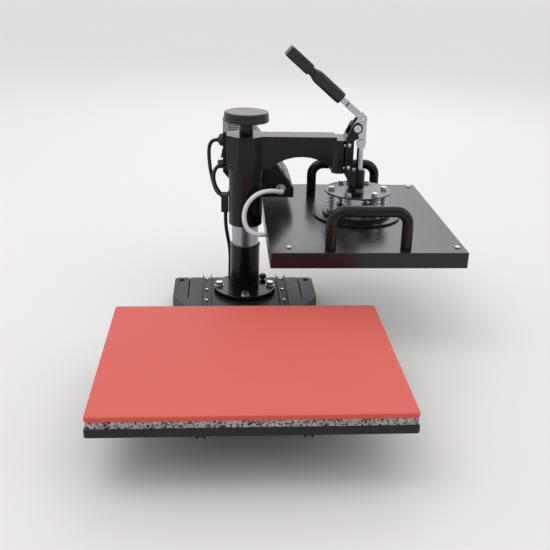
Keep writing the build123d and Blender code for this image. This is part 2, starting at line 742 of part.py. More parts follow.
def make_handles():
    for y, label in ((FRONT_HANDLE_Y, "front_handle"), (REAR_HANDLE_Y, "rear_handle")):
        left, right = HEAD_REACH - HANDLE_SPAN / 2 - 1, HEAD_REACH + HANDLE_SPAN / 2 - 1
        with BuildPart() as handle:
            with BuildLine() as path:
                FilletPolyline((left, y, COVER_TOP), (left, y, HANDLE_TOP), (right, y, HANDLE_TOP),
                               (right, y, COVER_TOP), radius=20)
            with BuildSketch(Plane(origin=(left, y, COVER_TOP))):
                Circle(HANDLE_R)
            sweep(path=path.wires()[0])
        save(handle, label)


# ---- control box -----------------------------------------------------------------------------

def box_outline(inset):
    # the side of the box: flat top, sloping panel, short nose, cut-up rear corner
    corners = [(BOX_BACK, BOX_TOP), (SLOPE_TOP_X, BOX_TOP), (BOX_FRONT, SLOPE_LOW_Z), (BOX_FRONT, BOX_LOW),
               (REAR_CUT_X, BOX_LOW), (BOX_BACK, REAR_CUT_Z)]
    with BuildSketch(mode=Mode.PRIVATE) as side:
        with BuildLine():
            Polyline(*corners, close=True)
        make_face()
        if inset:
            offset(amount=-inset, kind=Kind.INTERSECTION, mode=Mode.REPLACE)
    return side.sketch


def slope_plane(out):
    # a plane on the sloping panel: x runs away from the front, y runs up the slope, z points out
    middle = ((SLOPE_TOP_X + BOX_FRONT) / 2, (BOX_NEAR + BOX_FAR) / 2, (BOX_TOP + SLOPE_LOW_Z) / 2)
    run, rise = BOX_FRONT - SLOPE_TOP_X, BOX_TOP - SLOPE_LOW_Z
    length = hypot(run, rise)
    plane = Plane(origin=middle, x_dir=(0, 1, 0), z_dir=(rise / length, 0, run / length))
    return plane.offset(out)


BUTTONS = [(-32.0, -30.0), (0.0, -30.0), (32.0, -30.0)]


def make_box():
    far = BOX_FAR - BOX_SHEET
    outer = box_outline(0)
    inner = box_outline(BOX_SHEET)
    with BuildPart() as box_shell:
        with BuildSketch(UPRIGHT.offset(-BOX_NEAR)):
            add(outer)
        extrude(amount=-(far - BOX_NEAR))
        with BuildSketch(UPRIGHT.offset(-BOX_NEAR - BOX_SHEET)):
            add(inner)
        extrude(amount=-(far - BOX_NEAR), mode=Mode.SUBTRACT)
        # window behind the panel, rocker cut-out, vents and gland holes
        with BuildSketch(slope_plane(1)):
            Rectangle(104, 84)
        extrude(amount=-6, mode=Mode.SUBTRACT)
        with BuildSketch(Plane.YZ.offset(BOX_BACK - 1)):
            with Locations((70, 257)):
                Rectangle(19, 14)
            with Locations(MAINS_GLAND):
                Circle(5)
            with Locations((60, 240.5)):
                Circle(5)
        extrude(amount=4, mode=Mode.SUBTRACT)
        with BuildSketch(UPRIGHT.offset(-BOX_NEAR + 1)):
            with Locations(LEAD_GLAND):
                Circle(5)
        extrude(amount=-4, mode=Mode.SUBTRACT)
        with BuildSketch(Plane.XY.offset(BOX_TOP + 1)):
            with Locations((-20, 62), (-20, 78), (-20, 94), (-20, 110)):
                Rectangle(18, 6)
        extrude(amount=-4, mode=Mode.SUBTRACT)
    save(box_shell, "box_shell")

    with BuildPart() as box_cover:
        with BuildSketch(UPRIGHT.offset(-far)):
            add(outer)
        extrude(amount=-BOX_SHEET)
    save(box_cover, "box_cover")

    with BuildPart() as control_panel:
        with BuildSketch(slope_plane(0)):
            RectangleRounded(118, 104, 5)
            with Locations((0, 16)):
                Rectangle(62, 34, mode=Mode.SUBTRACT)
            with Locations(*BUTTONS):
                Circle(6.3, mode=Mode.SUBTRACT)
        extrude(amount=1.5)
    save(control_panel, "control_panel")

    with BuildPart() as display_window:
        with BuildSketch(slope_plane(-1.0)):
            with Locations((0, 16)):
                Rectangle(62, 34)
        extrude(amount=2.0)
    save(display_window, "display_window")

    with BuildPart() as controller_board:
        with BuildSketch(slope_plane(-14)):
            RectangleRounded(96, 76, 3)
        extrude(amount=1.6)
        with BuildSketch(slope_plane(-12.4)):
            with Locations((0, 16)):
                Rectangle(58, 30)
        extrude(amount=11.4)
        with BuildSketch(slope_plane(-12.4)):
            with Locations(*BUTTONS):
                Rectangle(6, 6)
        extrude(amount=4)
        with BuildSketch(slope_plane(-14)):
            with Locations((-28, 14), (26, 10)):
                Rectangle(24, 30)
        extrude(amount=-18)
    save(controller_board, "controller_board")

    for i, (x, y) in enumerate(BUTTONS):
        label = ("set_button", "down_button", "up_button")[i]
        with BuildPart() as button:
            with BuildSketch(slope_plane(-7.0)):
                with Locations((x, y)):
                    Circle(6.0)
            extrude(amount=10.5)
            fillet(button.edges().group_by(Axis(slope_plane(0).origin, slope_plane(0).z_dir))[-1], 1)
        save(button, label)

    with BuildPart() as rocker:
        with BuildSketch(UPRIGHT.offset(-61.5)):
            with BuildLine():
                Polyline((BOX_BACK + 5, 251.5), (BOX_BACK - 3.4, 250.8), (BOX_BACK - 2.0, 257), (BOX_BACK - 1.4, 263.2),
                         (BOX_BACK + 5, 262.5), close=True)
            make_face()
        extrude(amount=-17)
    save(rocker, "rocker_switch")


def make_glands():
    gy, gz = MAINS_GLAND
    with BuildPart() as mains_gland:
        with BuildSketch(Plane.YZ.offset(BOX_BACK)):
            with Locations((gy, gz)):
                Circle(10.5)
        extrude(amount=-7)
        fillet(mains_gland.edges().group_by(Axis.X)[0], 5)
        with BuildSketch(Plane.YZ.offset(BOX_BACK - 6.5)):
            with Locations((gy, gz)):
                Circle(MAINS_R + 1.6)
        extrude(amount=-2.7)
        with BuildSketch(Plane.YZ.offset(BOX_BACK)):
            with Locations((gy, gz)):
                Circle(5)
        extrude(amount=6)
    save(mains_gland, "mains_gland")

    with BuildPart() as fuse_holder:
        with BuildSketch(Plane.YZ.offset(BOX_BACK)):
            with Locations((60, 240.5)):
                Circle(7.5)
        extrude(amount=-9)
        fillet(fuse_holder.edges().group_by(Axis.X)[0], 2.5)
        with BuildSketch(Plane.YZ.offset(BOX_BACK)):
            with Locations((60, 240.5)):
                Circle(5)
        extrude(amount=20)
    save(fuse_holder, "fuse_holder")

    lx, lz = LEAD_GLAND
    with BuildPart() as lead_gland:
        with BuildSketch(UPRIGHT.offset(-BOX_NEAR)):
            with Locations((lx, lz)):
                RegularPolygon(8.5, 6, major_radius=False)
        extrude(amount=4)
        with BuildSketch(UPRIGHT.offset(-BOX_NEAR + 4)):
            with Locations((lx, lz)):
                Circle(7.4)
        extrude(amount=7)
        fillet(lead_gland.edges().group_by(Axis.Y)[0], 2)
        with BuildSketch(UPRIGHT.offset(-BOX_NEAR)):
            with Locations((lx, lz)):
                Circle(5)
        extrude(amount=-6)
    save(lead_gland, "lead_gland")


# ---- leads -----------------------------------------------------------------------------------

# mains lead from the gland on the box, round one loop, to the clip on the sleeve
UPPER_ROUTE = [(-47.2, 60.0, 283.0), (-54.2, 59.8, 282.4), (-59.8, 58.4, 276.8), (-61.8, 55.8, 267.0),
               (-61.6, 52.0, 254.5), (-60.2, 47.5, 240.0), (-57.4, 43.0, 225.0), (-53.6, 39.0, 210.5),
               (-49.6, 36.6, 199.8), (-42.6, 35.4, 192.2), (-33.2, 35.4, 191.0), (-25.8, 36.0, 196.8),
               (-23.4, 36.6, 207.0), (-23.4, 35.6, 219.5), (-23.6, 33.6, 231.0), (-26.6, 31.0, 241.6),
               (-34.8, 28.6, 248.0), (-45.2, 25.8, 246.8), (-52.2, 22.8, 239.0), (-54.2, 20.0, 227.6),
               (-51.8, 18.0, 215.6), (-46.2, 16.4, 205.2), (-39.2, 14.8, 196.8), (-33.8, 14.0, 187.0)]
# on from the clip's bore, down behind the column to the table and into the hank
LOWER_ROUTE = [(-33.5, 14.0, 170.7), (-33.5, 14.0, 155.0), (-32.4, 20.0, 138.0), (-29.4, 31.0, 117.0),
               (-26.0, 42.5, 95.0), (-24.6, 53.0, 70.0), (-25.0, 60.6, 46.0), (-25.2, 65.0, 28.0),
               (-22.4, 67.0, 15.0), (-15.4, 67.4, 7.0), (-7.0, 67.0, 3.7), (-0.1, 66.8, 3.4)]
# heater's lead, from the chrome gland to the heated platen's cover
LEAD_ROUTE = [(62.0, 28.4, 203.0), (61.8, 8.0, 205.5), (57.0, -14.0, 212.0), (42.0, -33.0, 220.0),
              (22.0, -42.0, 219.5), (6.0, -46.0, 208.5), (-3.0, -49.0, 192.0), (-4.0, -52.0, 174.0),
              (2.0, -55.5, 159.5), (13.5, -58.5, 153.2), (24.0, -60.0, 153.0), (31.8, -60.0, 153.0)]


def bend_radii(route, share=0.45):
    radii = []
    for before, here, after in zip(route, route[1:], route[2:]):
        first = Vector(*here) - Vector(*before)
        second = Vector(*after) - Vector(*here)
        turn = radians(first.get_angle(second))
        radii.append(share * min(first.length, second.length) / tan(turn / 2))
    return radii


def lead_tube(route, radius, label):
    radii = bend_radii(route)
    first = Vector(*route[1]) - Vector(*route[0])
    with BuildPart() as tube:
        with BuildLine() as path:
            FilletPolyline(*route, radius=radii)
        with BuildSketch(Plane(origin=route[0], z_dir=first)):
            Circle(radius)
        sweep(path=path.wires()[0])
    length = sum(edge.length for edge in path.edges())
    share = tube.part.volume / (length * 3.14159265 * radius ** 2)
    print(label, "length", round(length, 1), "radii", [round(r, 1) for r in radii], "volume share", round(share, 3))
    save(tube, label)


def make_leads():
    lead_tube(UPPER_ROUTE, MAINS_R, "mains_lead_upper")
    lead_tube(LOWER_ROUTE, MAINS_R, "mains_lead_lower")
    lead_tube(LEAD_ROUTE, LEAD_R, "heater_lead")

    with BuildPart() as cord_clip:
        with BuildSketch(Plane.XY.offset(CLIP_MIN[2])):
            with Locations(((CLIP_MIN[0] + CLIP_MAX[0]) / 2, (CLIP_MIN[1] + CLIP_MAX[1]) / 2)):
                Rectangle(CLIP_MAX[0] - CLIP_MIN[0], CLIP_MAX[1] - CLIP_MIN[1])
            Circle(SLEEVE_R, mode=Mode.SUBTRACT)
        extrude(amount=CLIP_MAX[2] - CLIP_MIN[2])
        # blind bore, open below, in which the lead slips as the head goes up and down
        with BuildSketch(Plane.XY.offset(CLIP_MIN[2])):
            with Locations(LOWER_ROUTE[0][:2]):
                Circle(MAINS_R + 0.4)
        extrude(amount=CLIP_BORE, mode=Mode.SUBTRACT)
    save(cord_clip, "cord_clip")

    # two layers of turns wound flat: the lower one wider, the upper one short of the far side
    with BuildPart() as mains_lead_hank:
        for low, (x_min, y_min, x_max, y_max) in ((0, HANK_LOWER), (2 * MAINS_R, HANK_UPPER)):
            with BuildSketch(Plane.XY.offset(low)):
                with Locations(((x_min + x_max) / 2, (y_min + y_max) / 2)):
                    RectangleRounded(x_max - x_min, y_max - y_min, (y_max - y_min) / 2 - 0.5)
            extrude(amount=2 * MAINS_R)
        with BuildSketch(Plane.YZ):
            with Locations((LOWER_ROUTE[-1][1], LOWER_ROUTE[-1][2])):
                Circle(MAINS_R)
            with Locations((PLUG_Y, HANK_EXIT_Z)):
                Circle(MAINS_R)
        extrude(amount=HANK_LOWER[3] / 3)
    save(mains_lead_hank, "mains_lead_hank")

    with BuildPart() as mains_plug:
        with BuildSketch(Plane.YZ.offset(PLUG_X[0])):
            with Locations((PLUG_Y, PLUG_HIGH / 2)):
                RectangleRounded(PLUG_WIDE, PLUG_HIGH, 5)
        extrude(amount=PLUG_X[1] - PLUG_X[0])
        # tapered strain relief that reaches the hank
        with BuildSketch(Plane.YZ.offset(PLUG_X[1])):
            with Locations((PLUG_Y, PLUG_HIGH / 2)):
                Circle(5.6)
        with BuildSketch(Plane.YZ.offset(HANK_LOWER[0])):
            with Locations((PLUG_Y, HANK_EXIT_Z)):
                Circle(MAINS_R + 0.4)
        loft()
        with BuildSketch(Plane.YZ.offset(PLUG_X[0])):
            with Locations((PLUG_Y - 6.5, 12.5), (PLUG_Y + 6.5, 12.5)):
                Rectangle(1.6, 6)
            with Locations((PLUG_Y, 5.5)):
                Circle(2.3)
        extrude(amount=-15)
    save(mains_plug, "mains_plug")


os.makedirs("parts", exist_ok=True)
make_base_plate()
make_feet()
make_rails()
make_column_base()
make_runners()
make_platen()
make_post()
make_head()
make_screw()
make_bracket()
make_lever()
make_link()
make_plunger()
make_pressure_plate()
make_heater()
make_handles()
make_box()
make_glands()
make_leads()
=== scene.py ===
from math import cos, pi, radians, sin

import bmesh
import bpy
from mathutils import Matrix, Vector, noise


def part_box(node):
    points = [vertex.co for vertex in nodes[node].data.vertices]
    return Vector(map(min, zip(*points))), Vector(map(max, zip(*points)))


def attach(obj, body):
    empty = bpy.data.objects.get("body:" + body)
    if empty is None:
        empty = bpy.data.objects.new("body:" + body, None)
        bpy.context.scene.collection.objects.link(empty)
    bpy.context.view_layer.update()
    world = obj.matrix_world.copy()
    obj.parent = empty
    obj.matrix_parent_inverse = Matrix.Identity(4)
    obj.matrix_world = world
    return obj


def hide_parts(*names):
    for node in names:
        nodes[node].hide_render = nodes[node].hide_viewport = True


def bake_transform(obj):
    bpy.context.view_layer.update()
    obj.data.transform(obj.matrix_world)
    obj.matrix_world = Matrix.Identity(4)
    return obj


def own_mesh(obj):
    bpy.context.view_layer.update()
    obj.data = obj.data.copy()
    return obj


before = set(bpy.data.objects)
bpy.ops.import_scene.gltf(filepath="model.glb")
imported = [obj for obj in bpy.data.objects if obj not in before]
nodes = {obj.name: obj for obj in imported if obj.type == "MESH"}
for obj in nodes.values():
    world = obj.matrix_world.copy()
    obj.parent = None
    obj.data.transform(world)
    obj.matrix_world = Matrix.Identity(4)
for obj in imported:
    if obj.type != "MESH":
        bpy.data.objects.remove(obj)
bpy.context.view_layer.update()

mm = 0.001
print("frame loaded,", len(nodes), "CAD nodes")


# the view: a lens just longer than normal, a little above the press and left of its middle

viewpoint = {
    "place": (-0.04007, -1.28797, 0.58021),
    "turn": (67.952, -1.36, -3.585),       # degrees about X, Y and Z
    "lens": 51.97,
}


def placeCamera():
    camera = bpy.data.objects.new("camera", bpy.data.cameras.new("camera"))
    bpy.context.scene.collection.objects.link(camera)
    camera.location = viewpoint["place"]
    camera.rotation_euler = [radians(angle) for angle in viewpoint["turn"]]
    camera.data.lens = viewpoint["lens"]
    camera.data.clip_start = 0.02
    camera.data.clip_end = 60
    bpy.context.scene.camera = camera


placeCamera()


# shader sums: a Wire is one output socket, and a Finish is one material with its Principled shader

class Wire:
    def __init__(self, finish, socket):
        self.finish = finish
        self.socket = socket

    def sum(self, operation, other=0.0, turned=False):
        parts = [other, self] if turned else [self, other]
        return self.finish.add("Math", {"operation": operation}, dict(enumerate(parts)))

    def __add__(self, other):
        return self.sum("ADD", other)

    def __radd__(self, other):
        return self.sum("ADD", other)

    def __sub__(self, other):
        return self.sum("SUBTRACT", other)

    def __rsub__(self, other):
        return self.sum("SUBTRACT", other, True)

    def __mul__(self, other):
        return self.sum("MULTIPLY", other)

    def __rmul__(self, other):
        return self.sum("MULTIPLY", other)

    def __pow__(self, other):
        return self.sum("POWER", other)

    def largest(self, other):
        return self.sum("MAXIMUM", other)

    # 0 below low, 1 above high, smooth between
    def between(self, low, high):
        settings = {"interpolation_type": "SMOOTHSTEP"}
        return self.finish.add("MapRange", settings, {"Value": self, "From Min": low, "From Max": high})


class Finish:
    def __init__(self, name, **fixed):
        self.material = bpy.data.materials.new(name)
        self.material.use_nodes = True
        self.tree = self.material.node_tree
        self.shader = self.tree.nodes["Principled BSDF"]
        self.points = self.add("TexCoord", {}, {}, "Object")
        for socket, value in fixed.items():
            self.shader.inputs[socket.replace("_", " ")].default_value = value

    # any node: settings first, then the values or links of its sockets
    def add(self, kind, settings, inputs, output=0):
        node = self.tree.nodes.new("ShaderNode" + kind)
        for key, value in settings.items():
            if key == "stops":
                self.setRamp(node.color_ramp, value)
            else:
                setattr(node, key, value)
        for key, value in inputs.items():
            if isinstance(value, Wire):
                self.tree.links.new(value.socket, node.inputs[key])
            else:
                node.inputs[key].default_value = value
        return Wire(self, node.outputs[output])

    def setRamp(self, ramp, stops):
        while len(ramp.elements) < len(stops):
            ramp.elements.new(0.5)
        for element, (place, colour) in zip(ramp.elements, stops):
            element.position = place
            element.color = (*colour, 1)

    def feed(self, socket, wire):
        self.tree.links.new(wire.socket, self.shader.inputs[socket])

    def noise(self, scale, detail=3.0, roughness=0.5, points=None):
        inputs = {"Vector": points or self.points, "Scale": scale, "Detail": detail, "Roughness": roughness}
        return self.add("TexNoise", {}, inputs)

    def cells(self, scale, feature="F1", output="Distance", points=None):
        inputs = {"Vector": points or self.points, "Scale": scale}
        return self.add("TexVoronoi", {"feature": feature}, inputs, output)

    def stretched(self, x, y, z):
        return self.add("Mapping", {}, {"Vector": self.points, "Scale": (x, y, z)})

    def axis(self, name, points=None):
        return self.add("SeparateXYZ", {}, {0: points or self.points}, name)

    def tint(self, share, plain, other):
        plain = plain if isinstance(plain, Wire) else (*plain, 1)
        other = other if isinstance(other, Wire) else (*other, 1)
        return self.add("Mix", {"data_type": "RGBA"}, {0: share, 6: plain, 7: other}, 2)

    def bump(self, height, strength, depth, under=None):
        inputs = {"Height": height, "Strength": strength, "Distance": depth}
        if under:
            inputs["Normal"] = under
        return self.add("Bump", {}, inputs)


# paints: a thin dark film with haze, dust specks, scuffs and orange peel

surfaceWear = {
    "speckEdge": (0.05, 0.16), "dustPatch": (0.5, 0.62), "dustScale": 23.0, "dustShare": 0.35,
    "scuffScale": 60.0, "scuffStretch": (1.0, 4.0, 2.0), "scuffPatch": (0.62, 0.7),
    "hazeRough": 0.08, "scuffRough": 0.1, "dustRough": 0.2, "peelDeep": 0.0004,
}


def paint(name, look):
    wear = surfaceWear
    finish = Finish(name, Coat_Roughness=look["coatRough"], IOR=look["ior"])
    haze = finish.noise(look["hazeScale"], 4.0, 0.6)
    specks = 1 - finish.cells(look["speckScale"]).between(*wear["speckEdge"])
    dusty = specks * finish.noise(wear["dustScale"], 2.0).between(*wear["dustPatch"])
    scratched = finish.stretched(*wear["scuffStretch"])
    scuffs = finish.noise(wear["scuffScale"], 6.0, 0.75, scratched).between(*wear["scuffPatch"])
    colour = finish.tint(haze, look["dark"], look["light"])
    finish.feed("Base Color", finish.tint(dusty * wear["dustShare"], colour, look["dust"]))
    finish.feed("Roughness", look["rough"] + haze * wear["hazeRough"] + scuffs * wear["scuffRough"]
                + dusty * wear["dustRough"])
    finish.feed("Coat Weight", look["coat"] - scuffs * look["coat"] * 0.5)
    peel = finish.noise(look["peelScale"], 2.0, 0.4)
    finish.feed("Normal", finish.bump(peel + dusty * 0.4, look["peel"], wear["peelDeep"]))
    return finish.material


glossLook = {
    "dark": (0.002, 0.002, 0.003), "light": (0.005, 0.005, 0.007), "dust": (0.12, 0.12, 0.13),
    "coatRough": 0.06, "ior": 1.34, "rough": 0.2, "coat": 0.08,
    "hazeScale": 9.0, "speckScale": 520.0, "peelScale": 260.0, "peel": 0.16,
}
satinLook = {
    "dark": (0.005, 0.005, 0.006), "light": (0.011, 0.011, 0.013), "dust": (0.14, 0.14, 0.15),
    "coatRough": 0.22, "ior": 1.38, "rough": 0.4, "coat": 0.05,
    "hazeScale": 14.0, "speckScale": 640.0, "peelScale": 900.0, "peel": 0.3,
}
coverLook = {
    "dark": (0.007, 0.006, 0.006), "light": (0.012, 0.01, 0.0105), "dust": (0.14, 0.14, 0.14),
    "coatRough": 0.16, "ior": 1.4, "rough": 0.22, "coat": 0.15,
    "hazeScale": 7.0, "speckScale": 560.0, "peelScale": 420.0, "peel": 0.2,
}
glossPaint = paint("gloss_black_enamel", glossLook)
satinPaint = paint("satin_black_powder_coat", satinLook)
coverPaint = paint("cover_black_enamel", coverLook)

# bright metals: lines is how finely the grain is drawn out along X, Y and Z
plateLook = {
    "chrome": {"dark": (0.4, 0.4, 0.45), "light": (0.6, 0.6, 0.66),
        "rough": 0.1, "lines": (4.0, 4.0, 900.0)},
    "zinc": {"dark": (0.5, 0.5, 0.53), "light": (0.76, 0.76, 0.78),
        "rough": 0.22, "lines": (300.0, 300.0, 300.0)},
    "steel": {"dark": (0.3, 0.3, 0.33), "light": (0.46, 0.46, 0.5),
        "rough": 0.24, "lines": (60.0, 900.0, 900.0)},
    "gunmetal": {"dark": (0.07, 0.07, 0.08), "light": (0.13, 0.13, 0.145),
        "rough": 0.2, "lines": (60.0, 900.0, 900.0)},
    "cast": {"dark": (0.5, 0.5, 0.52), "light": (0.68, 0.68, 0.7),
        "rough": 0.38, "lines": (220.0, 220.0, 220.0)},
    "bronze": {"dark": (0.42, 0.27, 0.11), "light": (0.62, 0.43, 0.2),
        "rough": 0.3, "lines": (8.0, 8.0, 1400.0)},
}


def metal(name, look):
    finish = Finish(name, Metallic=1.0)
    lines = finish.noise(1.0, 3.0, 0.6, finish.stretched(*look["lines"]))
    smear = finish.noise(38.0, 5.0, 0.65).between(0.42, 0.7)
    spots = 1 - finish.cells(410.0).between(0.03, 0.14)
    stain = spots * finish.noise(31.0, 2.0).between(0.52, 0.6)
    colour = finish.tint(lines, look["dark"], look["light"])
    finish.feed("Base Color", finish.tint(smear * 0.25 + stain * 0.3, colour, look["dark"]))
    finish.feed("Roughness", look["rough"] + smear * 0.09 + lines * 0.06 + stain * 0.15)
    finish.feed("Normal", finish.bump(lines - stain * 0.5, 0.12, 0.0002))
    return finish.material


metals = {name: metal("bright_" + name, look) for name, look in plateLook.items()}


# plastics and rubber: a fine grain with rubbed patches

plasticLook = {
    "grained": {"dark": (0.012, 0.012, 0.014), "light": (0.03, 0.03, 0.033),
        "rough": 0.42, "grain": 1500.0, "deep": 0.35},
    "rubber": {"dark": (0.012, 0.012, 0.012), "light": (0.032, 0.031, 0.03),
        "rough": 0.62, "grain": 900.0, "deep": 0.4},
    "sheath": {"dark": (0.008, 0.008, 0.009), "light": (0.022, 0.022, 0.024),
        "rough": 0.36, "grain": 700.0, "deep": 0.12},
    "keys": {"dark": (0.34, 0.34, 0.36), "light": (0.46, 0.46, 0.48),
        "rough": 0.45, "grain": 1600.0, "deep": 0.3},
    "board": {"dark": (0.008, 0.07, 0.03), "light": (0.016, 0.13, 0.05),
        "rough": 0.4, "grain": 500.0, "deep": 0.3},
    "wheel": {"dark": (0.008, 0.008, 0.01), "light": (0.018, 0.018, 0.022),
        "rough": 0.3, "grain": 1300.0, "deep": 0.3},
}


def plastic(name, look):
    finish = Finish(name, IOR=1.46)
    cloud = finish.noise(26.0, 4.0, 0.6)
    grain = finish.noise(look["grain"], 3.0, 0.55)
    rubbed = finish.noise(75.0, 5.0, 0.7).between(0.58, 0.68)
    finish.feed("Base Color", finish.tint(cloud * 0.6 + rubbed * 0.3, look["dark"], look["light"]))
    finish.feed("Roughness", look["rough"] + grain * 0.12 - rubbed * 0.08)
    finish.feed("Normal", finish.bump(grain, look["deep"], 0.0003))
    return finish.material


plastics = {name: plastic("moulded_" + name, look) for name, look in plasticLook.items()}


# the hand wheel's flat top is scuffed pale by the palm
def wheelRubber():
    look = plasticLook["wheel"]
    finish = Finish("hand_wheel_plastic", IOR=1.46)
    grain = finish.noise(look["grain"], 3.0, 0.55)
    high = finish.axis("Z").between(0.3405, 0.3428)
    palm = high * finish.noise(42.0, 5.0, 0.7).between(0.3, 0.62)
    colour = finish.tint(finish.noise(24.0), look["dark"], look["light"])
    finish.feed("Base Color", finish.tint(palm * 0.35, colour, (0.14, 0.14, 0.16)))
    finish.feed("Roughness", look["rough"] + grain * 0.1 - palm * 0.06)
    finish.feed("Normal", finish.bump(grain, look["deep"], 0.0003))
    return finish.material


siliconeLook = {
    "dark": (0.58, 0.088, 0.066), "light": (0.63, 0.104, 0.078), "worn": (0.66, 0.125, 0.098),
    "lint": (0.9, 0.55, 0.45), "wornShare": 0.35, "lintShare": 0.5, "rough": 0.56,
}


def silicone():
    look = siliconeLook
    finish = Finish("orange_silicone", IOR=1.43, Subsurface_Weight=0.06, Subsurface_Scale=0.004)
    finish.shader.inputs["Subsurface Radius"].default_value = (1.0, 0.3, 0.2)
    cloud = finish.noise(5.0, 4.0, 0.6)
    worn = finish.noise(17.0, 6.0, 0.72).between(0.5, 0.72)
    lint = 1 - finish.cells(330.0).between(0.02, 0.12)
    lint = lint * finish.noise(40.0, 2.0).between(0.54, 0.64)
    weave = finish.noise(1500.0, 2.0, 0.5)
    colour = finish.tint(cloud, look["dark"], look["light"])
    colour = finish.tint(worn * look["wornShare"], colour, look["worn"])
    finish.feed("Base Color", finish.tint(lint * look["lintShare"], colour, look["lint"]))
    finish.feed("Roughness", look["rough"] + worn * 0.1 + weave * 0.08)
    finish.feed("Normal", finish.bump(weave + lint * 0.8, 0.25, 0.0003))
    return finish.material


spongeLook = {
    "chipScale": 420.0, "bendScale": 300.0, "bend": 0.003, "poreScale": 1500.0,
    "gap": (0.05, 0.045, 0.04), "gapShare": 0.5, "poreShare": 0.3,
    # where each colour of chip starts, from 0 to 1, and the colour
    "chips": [(0.0, (0.02, 0.02, 0.022)), (0.16, (0.16, 0.15, 0.16)), (0.27, (0.5, 0.49, 0.46)),
              (0.62, (0.36, 0.3, 0.16)), (0.68, (0.58, 0.57, 0.54)), (0.86, (0.4, 0.39, 0.38))],
}


# rebonded foam: chips of grey, white, buff and black foam pressed together
def sponge():
    look = spongeLook
    finish = Finish("rebonded_foam", IOR=1.4)
    swirl = finish.add("TexNoise", {}, {"Vector": finish.points, "Scale": look["bendScale"]}, 1)
    push = finish.add("VectorMath", {"operation": "SCALE"}, {0: swirl, "Scale": look["bend"]})
    bent = finish.add("VectorMath", {"operation": "ADD"}, {0: finish.points, 1: push})
    chip = finish.cells(look["chipScale"], "F1", "Color", bent)
    pick = finish.axis("X", chip)
    chips = finish.add("ValToRGB", {"stops": look["chips"]}, {"Fac": pick})
    finish.tree.nodes[-1].color_ramp.interpolation = "CONSTANT"
    edges = finish.cells(look["chipScale"], "DISTANCE_TO_EDGE", "Distance", bent)
    gaps = 1 - edges.between(0.0, 0.1)
    pores = 1 - finish.cells(look["poreScale"]).between(0.1, 0.45)
    worn = gaps * look["gapShare"] + pores * look["poreShare"]
    finish.feed("Base Color", finish.tint(worn, chips, look["gap"]))
    finish.feed("Roughness", 0.88 + pores * 0.1)
    finish.feed("Normal", finish.bump(1 - gaps * 0.7 - pores, 0.7, 0.0008))
    return finish.material


def fibreMat():
    finish = Finish("ceramic_fibre", IOR=1.4, Roughness=0.95)
    strands = finish.noise(260.0, 6.0, 0.8, finish.stretched(1.0, 1.0, 6.0))
    finish.feed("Base Color", finish.tint(strands, (0.6, 0.57, 0.5), (0.85, 0.83, 0.78)))
    finish.feed("Normal", finish.bump(strands, 0.6, 0.0008))
    return finish.material


# printed overlay with a fine border line and no lettering
def panelFilm():
    finish = Finish("printed_overlay", IOR=1.48, Coat_Roughness=0.2)
    grain = finish.noise(1800.0, 2.0)
    across = finish.axis("Y").between(0.050, 0.0506) - finish.axis("Y").between(0.0512, 0.0518)
    colour = finish.tint(finish.noise(18.0), (0.05, 0.055, 0.065), (0.075, 0.08, 0.09))
    finish.feed("Base Color", finish.tint(across * 0.7, colour, (0.6, 0.6, 0.62)))
    finish.feed("Roughness", 0.34 + grain * 0.1)
    finish.feed("Normal", finish.bump(grain, 0.2, 0.0002))
    return finish.material


def smokedWindow():
    finish = Finish("smoked_window", IOR=1.49, Coat_Weight=1.0, Coat_Roughness=0.05)
    haze = finish.noise(55.0, 4.0)
    finish.feed("Base Color", finish.tint(haze, (0.03, 0.004, 0.004), (0.06, 0.008, 0.007)))
    finish.feed("Roughness", 0.08 + haze * 0.08)
    finish.feed("Normal", finish.bump(haze, 0.03, 0.0005))
    return finish.material


sleevingLook = {"strands": 26.0, "pitch": 210.0, "light": (0.95, 0.95, 0.95), "dark": (0.74, 0.74, 0.75)}


# two sets of flat yarns wound left and right round the lead: U goes round it, V along it in metres
def sleeving():
    finish = Finish("glass_fibre_sleeving", IOR=1.45)
    along = finish.add("UVMap", {"uv_map": "UVMap"}, {})
    around = finish.axis("X", along) * sleevingLook["strands"]
    lengthwise = finish.axis("Y", along) * sleevingLook["pitch"]
    right = ((around + lengthwise) * pi).sum("SINE") ** 2
    left = ((around - lengthwise) * pi).sum("SINE") ** 2
    yarn = right.largest(left)
    grime = finish.noise(70.0, 5.0, 0.7).between(0.45, 0.75)
    colour = finish.tint(yarn, sleevingLook["dark"], sleevingLook["light"])
    finish.feed("Base Color", finish.tint(grime * 0.12, colour, (0.45, 0.43, 0.4)))
    finish.feed("Roughness", 0.62 + grime * 0.15)
    finish.feed("Normal", finish.bump(yarn, 0.5, 0.0004))
    return finish.material


def floorPaper():
    finish = Finish("studio_floor", Roughness=0.75)
    shade = finish.noise(1.5, 2.0)
    finish.feed("Base Color", finish.tint(shade, (0.715, 0.7, 0.665), (0.735, 0.72, 0.685)))
    return finish.material


siliconeSkin = silicone()
foam = sponge()
braid = sleeving()
print("finishes made")

